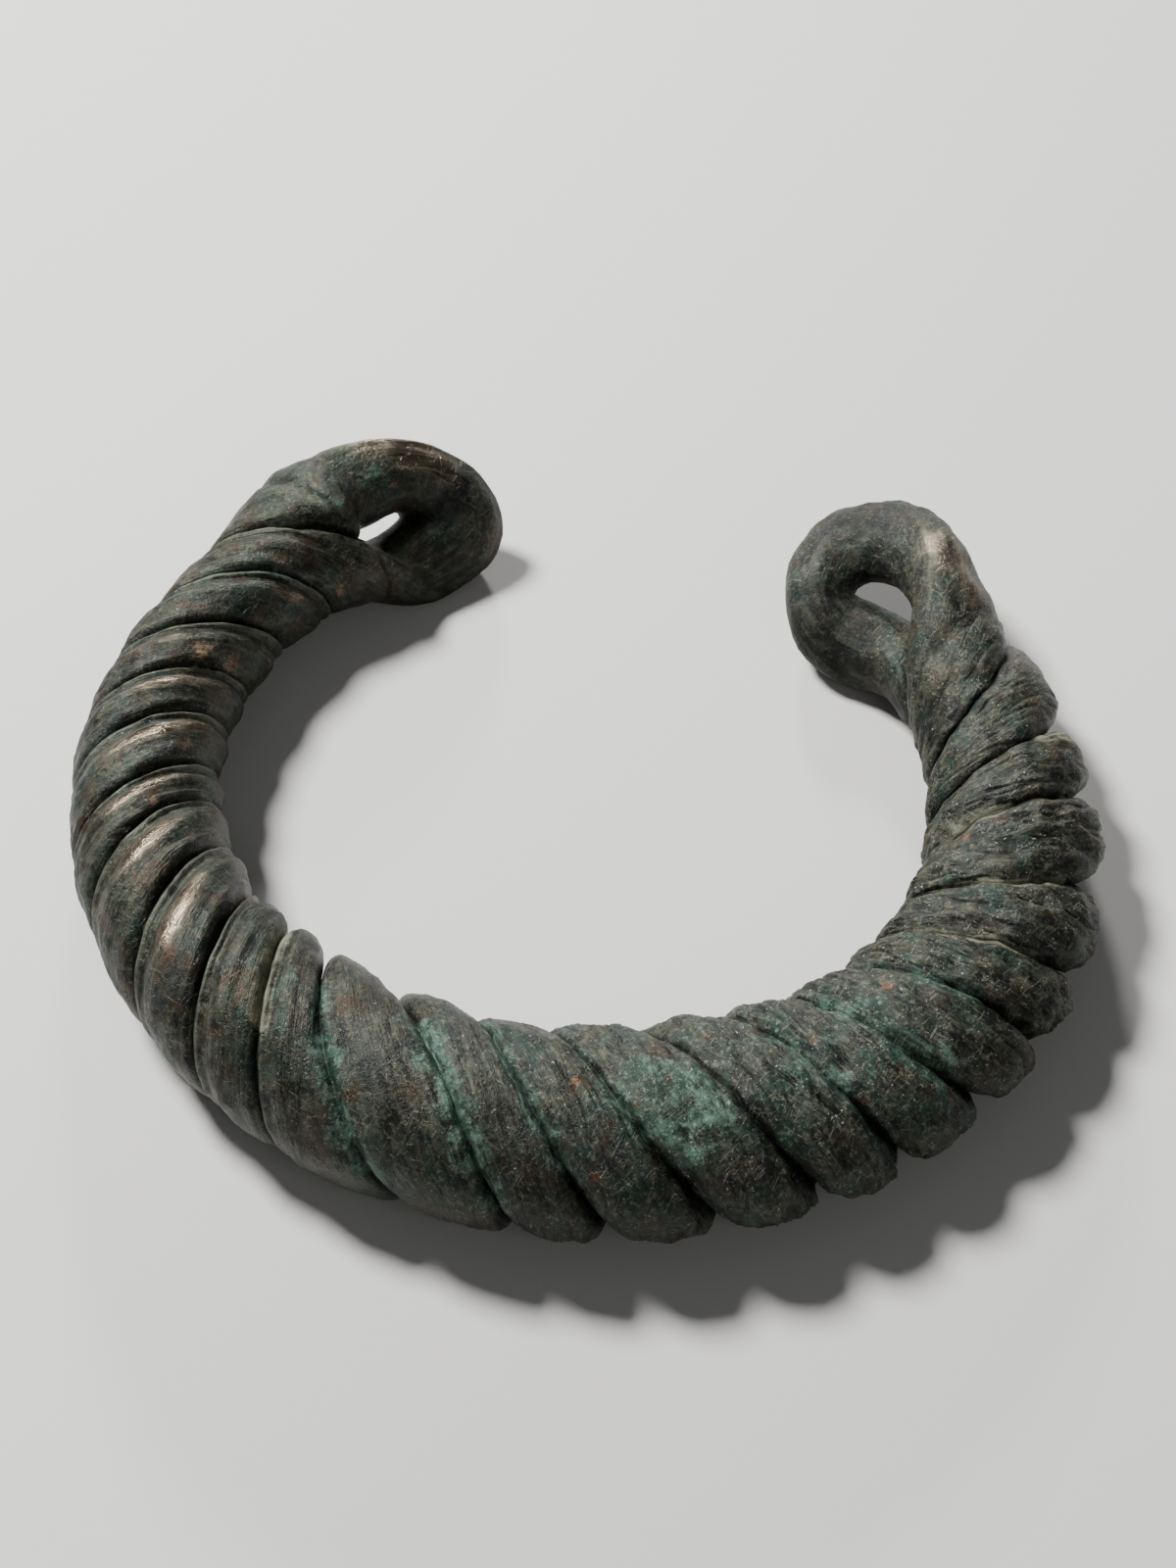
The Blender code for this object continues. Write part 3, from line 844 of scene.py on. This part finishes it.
# %% Relief tree and its depths
UNEVENNESS = 0.22 * MM
relief = Tree("skin_relief", [
    ("Unevenness", "NodeSocketFloat", UNEVENNESS),
    ("Grain depth", "NodeSocketFloat", 0.10 * MM),
    ("Fine depth", "NodeSocketFloat", 0.08 * MM),
    ("Pit depth", "NodeSocketFloat", 0.14 * MM),
    ("Crust height", "NodeSocketFloat", 0.16 * MM),
    ("Lump height", "NodeSocketFloat", 0.45 * MM),
    ("Crease depth", "NodeSocketFloat", 0.26 * MM),
    ("Wander", "NodeSocketFloat", 0.50 * MM),
    ("Broad grain", "NodeSocketFloat", 0.32 * MM),
    ("Crack depth", "NodeSocketFloat", 0.40 * MM),
    ("Chip depth", "NodeSocketFloat", 0.30 * MM),
])
here = relief.add("GeometryNodeInputPosition").outputs[0]
here_mm = relief.scaled(here, 1.0 / MM)
grain = relief.named("grain", "FLOAT_VECTOR")


def swing(value):
    """Noise turned into a value around zero, from -1 to 1."""
    return relief.math("MULTIPLY_ADD", value, 2.0, -1.0)


print("relief inputs", len(relief.ids))

# %% Unevenness, grain, pits and chips
UNEVEN_MM = 3.4
GRAIN_MM = (0.75, 7.0, 1.0)
FINE_MM = 0.9
CHIP_MM = 1.9
PIT_MM = 2.1
PITTED_AREA_MM = 6.0
worn = relief.named("polish")
rugged = relief.named("rugged")
uneven = relief.times(swing(relief.noise(here_mm, UNEVEN_MM, 1, 2.0)), relief.given["Unevenness"])
strand_grain = relief.noise(grain, GRAIN_MM, 2, 3.0, 0.6)
body_share = relief.without(relief.named("on_loop"))
rough_share = relief.without(relief.times(worn, 0.85))
grain_move = relief.times(swing(strand_grain), relief.given["Grain depth"], body_share, rough_share)
fine_share = relief.math("MULTIPLY_ADD", rugged, 1.7, 0.4)
fine_noise = swing(relief.noise(here_mm, FINE_MM, 3, 2.0))
fine_move = relief.times(fine_noise, relief.given["Fine depth"], rough_share, fine_share)
chip = relief.span(relief.cells(here_mm, CHIP_MM, 11), 0.15, 0.65, -0.5, 0.5)
chip_move = relief.times(chip, relief.given["Chip depth"], relief.span(rugged, 0.35, 1.0))
pit = relief.span(relief.cells(here_mm, PIT_MM, 4), 0.10, 0.30, 1.0, 0.0)
pitted = relief.span(relief.noise(here_mm, PITTED_AREA_MM, 5), 0.48, 0.60)
pit_move = relief.times(pit, pitted, relief.given["Pit depth"], -1.0, rough_share)
print("relief nodes so far", len(relief.tree.nodes))

# %% Crusts, lumps, cracks and creases
CRUST_EDGE_MM = 1.3
CRUST_GRAIN_MM = 0.7
LUMP_MM = 1.9
CREASE_MM = (2.2, 11.0, 1.0)
BROAD_GRAIN_MM = (2.6, 9.0, 1.0)
CREASE_HALF_WIDTH = 0.035
crust_edge = relief.noise(here_mm, CRUST_EDGE_MM, 6, 4.0)
crust = relief.span(relief.math("ADD", relief.named("turquoise"), crust_edge), 0.85, 1.05)
crust_grain = relief.noise(here_mm, CRUST_GRAIN_MM, 7)
crust_move = relief.times(crust, relief.given["Crust height"], crust_grain)
lump_noise = swing(relief.noise(here_mm, LUMP_MM, 8, 1.0))
lump_move = relief.times(relief.named("lump"), lump_noise, relief.given["Lump height"])
crack_move = relief.times(relief.named("crack"), relief.given["Crack depth"], -1.0)
crease_noise = relief.noise(grain, CREASE_MM, 9, 2.0)
crease_line = relief.math("ABSOLUTE", relief.math("SUBTRACT", crease_noise, 0.5))
crease = relief.span(crease_line, 0.0, CREASE_HALF_WIDTH, 1.0, 0.0)
crease_move = relief.times(crease, relief.given["Crease depth"], -1.0, body_share, rugged)
broad_noise = swing(relief.noise(grain, BROAD_GRAIN_MM, 10, 3.0))
broad_grain = relief.times(broad_noise, relief.given["Broad grain"], body_share, rugged)
print("relief nodes so far", len(relief.tree.nodes))

# %% Every point moved
WANDER_MM = 2.4
RELIEF_UNIT = 0.2 * MM
height = relief.add("ShaderNodeSeparateXYZ", here).outputs["Z"]
above_floor = relief.span(height, 0.1 * MM, 1.5 * MM)
crested = relief.span(relief.named("crest"), 0.0, 0.5, 0.35, 1.0)
total = relief.total(
    uneven, grain_move, fine_move, pit_move, crust_move, lump_move, crease_move, broad_grain, chip_move,
)
total = relief.times(relief.total(relief.times(total, crested), crack_move), above_floor)
normal = relief.add("GeometryNodeInputNormal").outputs[0]
shaped = relief.add("GeometryNodeSetPosition", relief.given["Geometry"])
wander_noise = relief.add("ShaderNodeTexNoise")
relief.put(wander_noise.inputs["Vector"], relief.scaled(here_mm, 1.0 / WANDER_MM))
wander_noise.inputs["Scale"].default_value = 1.0
wander_noise.inputs["Detail"].default_value = 2.0
wander = relief.vector("SUBTRACT", wander_noise.outputs["Color"], (0.5, 0.5, 0.5))
wander_share = relief.math("MULTIPLY_ADD", rugged, 0.8, 0.2)
wander_by = relief.times(relief.given["Wander"], above_floor, wander_share, 2.0)
offset = relief.vector("ADD", relief.scaled(normal, total), relief.scaled(wander, wander_by))
relief.put(shaped.inputs["Offset"], offset)
noted = relief.add("GeometryNodeStoreNamedAttribute", shaped.outputs[0],
                   settings={"data_type": "FLOAT", "domain": "POINT"})
noted.inputs["Name"].default_value = "relief"
relief.put(noted.inputs["Value"], relief.times(total, 1.0 / RELIEF_UNIT))
relief.finish(noted.outputs[0], bronze)
print("relief nodes", len(relief.tree.nodes))

# %% [markdown]
# ## The ring as a piece
#
# The tree's result becomes a plain mesh, and the helper object goes. The ring's own object stands at the
# origin, unturned, with its place in its points. It takes the place of the solid part named bangle, and
# smooth shading rounds the small faces.

# %% The finished ring
bent = bpy.data.objects.new("bent", bent_mesh)
bpy.context.scene.collection.objects.link(bent)
ring_mesh = apply_tree(bent, relief, {"Unevenness": UNEVENNESS}, "twisted_ring")
bpy.data.objects.remove(bent, do_unlink=True)
ring = bpy.data.objects.new("twisted_ring", ring_mesh)
bpy.context.scene.collection.objects.link(ring)
ring_mesh.polygons.foreach_set("use_smooth", [True] * len(ring_mesh.polygons))
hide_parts("bangle")
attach(ring, "root")
print("triangles about", 2 * len(ring_mesh.polygons))

# %% [markdown]
# ## Bronze and its patina
#
# Aged bronze is a stack of thin layers. At the bottom is dark brown metal, bare where hands and wear
# polished it. Over it lies a grey-brown tarnish, then green and turquoise copper salts in the hollows
# and in patches, and last some pale soil. The material mixes those layers in that order. Fine
# scratches and grain go over everything. Shade in the grooves, the hollows and on faces turned from
# the lamps is painted into the colour too, and so are small glints of light.

# %% Bronze colours
DARK_TARNISH = (0.0060, 0.0066, 0.0050, 1.0)
GREY_TARNISH = (0.057, 0.058, 0.041, 1.0)
BLUE_GREY = (0.024, 0.032, 0.032, 1.0)
BROWN = (0.043, 0.025, 0.013, 1.0)
GREEN = (0.012, 0.036, 0.025, 1.0)
PALE_GRAIN = (0.125, 0.126, 0.088, 1.0)
# painted shade: near black laid into the grooves, the relief hollows and faces turned from the lamps; also
# the real dark inside cracks
SHADE_AND_CRACK_DARK = (0.0045, 0.0050, 0.0040, 1.0)
METAL_BROWN = (0.078, 0.060, 0.040, 1.0)
METAL_BRIGHT = (0.310, 0.255, 0.185, 1.0)
TURQUOISE_DEEP = (0.014, 0.036, 0.026, 1.0)
TURQUOISE_PALE = (0.100, 0.178, 0.134, 1.0)
TURQUOISE_FLECK = (0.230, 0.340, 0.265, 1.0)
LEDGE_GREY = (0.085, 0.092, 0.066, 1.0)
CREAM = (0.185, 0.185, 0.128, 1.0)
SOIL = (0.230, 0.150, 0.085, 1.0)
COPPER = (0.130, 0.050, 0.022, 1.0)
SCRATCH = (0.200, 0.195, 0.155, 1.0)
# painted highlight colour for the tiny glints
PAINTED_GLINT = (0.420, 0.410, 0.360, 1.0)

print("bronze is laid in thin layers over", DARK_TARNISH[:3])

# %% Helpers for the material
skin = Nodes(bronze.node_tree)
shader = bronze.node_tree.nodes["Principled BSDF"]
object_mm = skin.scaled(skin.add("ShaderNodeTexCoord").outputs["Object"], 1.0 / MM)


def seen(name):
    """A stored point value inside the material."""
    node = skin.add("ShaderNodeAttribute", settings={"attribute_name": name})
    return node.outputs["Vector"] if name == "grain" else node.outputs["Fac"]


def layer(under, over, amount):
    """Colour laid over another by an amount."""
    node = skin.add("ShaderNodeMix", settings={"data_type": "RGBA"})
    skin.put(node.inputs[0], amount)
    skin.put(node.inputs[6], under)
    skin.put(node.inputs[7], over)
    return node.outputs[2]


def broken(name, size, seed, low, high, spread):
    """A stored patch weight with its edge broken up by noise."""
    ragged = skin.math("SUBTRACT", skin.noise(object_mm, size, seed, 5.0, 0.65), 0.5)
    return skin.span(skin.math("ADD", seen(name), skin.times(ragged, spread, 2.0)), low, high)


print("material starts from", shader.name)

# %% Noises that the layers share
grain_mm = seen("grain")
crest = seen("crest")
hollow = skin.span(seen("relief"), -0.9, 0.2, 1.0, 0.0)
broad = skin.noise(object_mm, 8.0, 11, 3.0)
mottle = skin.noise(object_mm, 1.3, 12, 8.0, 0.72)
speckle = skin.noise(object_mm, 0.42, 13, 4.0, 0.7)
streak = skin.noise(grain_mm, (0.28, 4.5, 1.0), 14, 3.0, 0.6)
streak_share = skin.without(seen("on_loop"))
mottle = skin.total(skin.times(mottle, 0.62), skin.times(streak, 0.38))
print("bronze nodes so far", len(bronze.node_tree.nodes))

# %% [markdown]
# ### Tarnish
#
# Dark and grey tarnish are mottled together first. Blue grey, brown and green go over them in patches of
# a few millimetres, and the right front gets a film of verdigris. Pale and dark specks follow. Last, shade
# is painted into the grooves and the hollows of the relief, and the thin ledge on the left half is made grey.

# %% Tarnish layers
colour = layer(DARK_TARNISH, GREY_TARNISH, skin.span(mottle, 0.41, 0.60))
colour = layer(colour, BLUE_GREY, skin.times(skin.span(broad, 0.50, 0.66), 0.35))
brown_share = skin.span(skin.noise(object_mm, 3.2, 15, 7.0, 0.68), 0.52, 0.62)
brown_amount = skin.math("MULTIPLY_ADD", seen("rugged"), -0.25, 0.78)
colour = layer(colour, BROWN, skin.times(brown_share, brown_amount))
green_share = skin.span(skin.noise(object_mm, 4.2, 16, 8.0, 0.70), 0.50, 0.60)
green_amount = skin.math("MULTIPLY_ADD", seen("rugged"), 0.42, 0.38)
colour = layer(colour, GREEN, skin.times(green_share, green_amount))
verdigris = skin.span(skin.noise(object_mm, 2.6, 17, 7.0, 0.72), 0.44, 0.60)
verdigris = skin.times(verdigris, seen("verdigris"))
colour = layer(colour, TURQUOISE_DEEP, skin.times(verdigris, 0.50))
verdigris_fleck = skin.times(verdigris, skin.span(speckle, 0.53, 0.62), 0.30)
colour = layer(colour, TURQUOISE_PALE, verdigris_fleck)
speckled = skin.math("MULTIPLY_ADD", seen("rugged"), 0.30, 0.30)
colour = layer(colour, PALE_GRAIN, skin.times(skin.span(speckle, 0.53, 0.64), speckled))
colour = layer(colour, DARK_TARNISH, skin.times(skin.span(speckle, 0.38, 0.47, 1.0, 0.0), speckled))
# painted shade: the grooves between the strands and the hollows of the relief are darkened as if shade lay in
# them
groove_painted_shade = skin.times(skin.span(crest, 0.02, 0.30, 1.0, 0.0), 0.85)
colour = layer(colour, SHADE_AND_CRACK_DARK, groove_painted_shade)
colour = layer(colour, SHADE_AND_CRACK_DARK, skin.times(hollow, 0.6))
colour = layer(colour, LEDGE_GREY, skin.times(seen("ledge"), skin.span(mottle, 0.40, 0.54), 0.75))
print("bronze nodes so far", len(bronze.node_tree.nodes))

# %% [markdown]
# ### Bare metal and deposits
#
# Each layer here starts from a weight stored on the points. Noise breaks its edge, so that a patch never
# looks round. The turquoise has three tones of its own, and a lace of small holes lets the tarnish show
# through every deposit.

# %% Bare metal and deposits
polish = broken("polish", 1.6, 21, 0.25, 0.75, 0.40)
metal_colour = layer(METAL_BROWN, METAL_BRIGHT, skin.span(streak, 0.35, 0.75))
colour = layer(colour, metal_colour, skin.times(polish, 0.9))
lace = skin.span(mottle, 0.38, 0.56, 0.12, 1.0)
turquoise = skin.times(broken("turquoise", 1.4, 22, 0.30, 0.95, 0.95), lace)
curdled = skin.noise(object_mm, 1.5, 26, 6.0, 0.75)
turquoise_colour = layer(TURQUOISE_DEEP, TURQUOISE_PALE, skin.span(curdled, 0.42, 0.60))
fleck = skin.times(skin.span(speckle, 0.56, 0.64), 0.6)
turquoise_colour = layer(turquoise_colour, TURQUOISE_FLECK, fleck)
colour = layer(colour, turquoise_colour, skin.times(turquoise, 0.9))
cream = broken("cream", 0.8, 23, 0.38, 0.70, 0.60)
colour = layer(colour, CREAM, skin.times(cream, lace, 0.85))
soil = broken("soil", 0.6, 24, 0.50, 0.85, 0.95)
colour = layer(colour, SOIL, skin.times(soil, lace, 0.8))
copper = broken("copper", 0.5, 25, 0.50, 0.90, 0.95)
colour = layer(colour, COPPER, skin.times(copper, lace, 0.8))
# painted shade: the dark places are darkened where the faces turn away from the lamps
shaded = skin.times(skin.span(seen("dark"), 0.15, 0.8), skin.without(polish))
colour = layer(colour, SHADE_AND_CRACK_DARK, skin.times(shaded, skin.span(mottle, 0.42, 0.57, 1.0, 0.35)))
colour = layer(colour, SHADE_AND_CRACK_DARK, skin.span(seen("crack"), 0.2, 0.7))
print("bronze nodes so far", len(bronze.node_tree.nodes))

# %% [markdown]
# ### Scratches and painted glints
#
# Curly hair lines come from the middle value of a noise, and three sets of straight scratches from a
# noise stretched along three directions. Short ticks cross the polished crests. Tiny pale specks finish
# the colour as painted glints, a painted highlight.

# %% Scratches and painted glints
SCRATCH_SETS = ((0.5, 33), (0.8, 34), (2.2, 35))
hair = skin.math("ABSOLUTE", skin.math("SUBTRACT", skin.noise(object_mm, 1.25, 31, 2.0), 0.5))
hair = skin.span(hair, 0.005, 0.014, 1.0, 0.0)
hair = skin.times(hair, skin.span(skin.noise(object_mm, 1.1, 32, 1.0), 0.48, 0.58))
scratches = 0.0
for turn, seed in SCRATCH_SETS:
    turned = skin.add("ShaderNodeVectorRotate", settings={"rotation_type": "Z_AXIS"})
    skin.put(turned.inputs["Vector"], object_mm)
    skin.put(turned.inputs["Angle"], turn)
    line = skin.noise(turned.outputs[0], (0.13, 2.4, 2.4), seed, 1.0)
    scratches = skin.math("MAXIMUM", scratches, skin.span(line, 0.69, 0.75))
ticks = skin.span(skin.noise(grain_mm, (1.1, 0.18, 1.0), 36, 1.0), 0.64, 0.70)
ticks = skin.times(ticks, skin.span(seen("polish"), 0.08, 0.4))
line_share = skin.math("MULTIPLY_ADD", seen("rugged"), 0.80, 0.35)
line_share = skin.times(line_share, skin.without(skin.times(shaded, 0.8)))
lines = skin.total(skin.times(hair, line_share), skin.times(scratches, line_share), ticks)
lines = skin.math("MINIMUM", lines, 1.0)
colour = layer(colour, SCRATCH, skin.times(lines, 0.5))
# painted highlight: tiny pale specks stand in for glints of light on the fine bumps
painted_glints = skin.span(skin.noise(object_mm, 0.24, 37, 1.0), 0.70, 0.76)
painted_glints = skin.times(painted_glints, line_share, skin.without(skin.times(groove_painted_shade, 0.8)))
colour = layer(colour, PAINTED_GLINT, skin.times(painted_glints, 0.6))
skin.put(shader.inputs["Base Color"], colour)
print("bronze nodes so far", len(bronze.node_tree.nodes))

# %% [markdown]
# ### Sheen
#
# Bare metal shines most, the smooth left half a little, and deposits not at all. Metallic and roughness
# follow that, and the places of painted shade stay dull.

# %% Sheen
deposit = skin.math("MAXIMUM", turquoise, skin.math("MAXIMUM", cream, soil))
bare = skin.times(polish, skin.without(deposit))
smooth_share = skin.times(skin.without(seen("rugged")), skin.without(deposit))
metallic = skin.total(skin.math("MULTIPLY_ADD", bare, 0.55, 0.20), skin.times(smooth_share, 0.22))
skin.put(shader.inputs["Metallic"], metallic)
rough = skin.math("MULTIPLY_ADD", mottle, 0.40, 0.26)
rough = skin.math("SUBTRACT", rough, skin.times(bare, 0.20))
rough = skin.total(rough, skin.times(shaded, 0.20), skin.times(smooth_share, -0.07))
shader.inputs["Specular IOR Level"].default_value = 0.22
skin.put(shader.inputs["Roughness"], skin.math("MULTIPLY_ADD", deposit, 0.22, rough))
print("bronze nodes so far", len(bronze.node_tree.nodes))

# %% Fine bump
BUMP_DEPTH = 0.20 * MM
BUMP_STRENGTH = 0.9
grit = skin.noise(object_mm, 0.22, 41, 3.0, 0.7)
fine_streak = skin.noise(grain_mm, (0.12, 2.2, 1.0), 42, 2.0)
bumps = skin.total(
    skin.times(grit, 0.5), skin.times(fine_streak, streak_share, 0.35), skin.times(lines, 0.30),
    skin.times(ticks, -0.45), skin.times(mottle, 0.6),
)
bump = skin.add("ShaderNodeBump")
skin.put(bump.inputs["Height"], skin.times(bumps, skin.without(skin.times(bare, 0.3))))
bump.inputs["Distance"].default_value = BUMP_DEPTH
bump.inputs["Strength"].default_value = BUMP_STRENGTH
skin.put(shader.inputs["Normal"], bump.outputs[0])
print("bronze nodes", len(bronze.node_tree.nodes))

# %% [markdown]
# ## Floor
#
# A large pale floor catches the ring's shadow. It belongs to the stage and not to the object.

# %% Floor
FLOOR_HALF = 2.0
FLOOR_PALE = (0.66, 0.65, 0.63, 1.0)
FLOOR_ROUGHNESS = 0.9
corners = [(FLOOR_HALF * x, FLOOR_HALF * y, 0.0) for x, y in ((-1, -1), (1, -1), (1, 1), (-1, 1))]
floor_mesh = bpy.data.meshes.new("floor")
floor_mesh.from_pydata(corners, [], [(0, 1, 2, 3)])
floor = bpy.data.objects.new("floor", floor_mesh)
bpy.context.scene.collection.objects.link(floor)
pale = bpy.data.materials.new("pale_floor")
pale.use_nodes = True
pale_shader = pale.node_tree.nodes["Principled BSDF"]
pale_shader.inputs["Base Color"].default_value = FLOOR_PALE
pale_shader.inputs["Roughness"].default_value = FLOOR_ROUGHNESS
floor_mesh.materials.append(pale)
print("floor", 2 * FLOOR_HALF, "m wide")

# %% [markdown]
# ## Light
#
# A soft lamp above, behind and to the left puts the long highlights on the polished turns. A lower one
# far behind draws a thin light along the upper edge of the left loop, and a weak wide one in front keeps
# the near turns readable. A dim even sky fills the shadows.

# %% Lights
LAMPS = (
    # name, place in metres, width, power in watts
    ("key_lamp", (-0.24, 0.20, 0.40), 0.12, 6.2),
    ("edge_lamp", (-0.03, 0.60, 0.24), 0.08, 3.0),
    ("front_lamp", (0.25, -0.45, 0.45), 0.40, 0.4),
)
SKY = (0.75, 0.76, 0.78, 1.0)
SKY_STRENGTH = 0.11


def soft_light(name, place, size, power):
    """A round soft lamp aimed at the ring."""
    data = bpy.data.lights.new(name, "AREA")
    data.shape = "DISK"
    data.size = size
    data.energy = power
    lamp = bpy.data.objects.new(name, data)
    bpy.context.scene.collection.objects.link(lamp)
    lamp.location = place
    aim = Vector((0.0, 0.0, 0.0)) - Vector(place)
    lamp.rotation_euler = aim.to_track_quat("-Z", "Y").to_euler()


for name, place, size, power in LAMPS:
    soft_light(name, place, size, power)
world = bpy.data.worlds.new("studio")
world.use_nodes = True
sky_node = world.node_tree.nodes["Background"]
sky_node.inputs["Color"].default_value = SKY
sky_node.inputs["Strength"].default_value = SKY_STRENGTH
bpy.context.scene.world = world
print("lamps set", len(LAMPS))
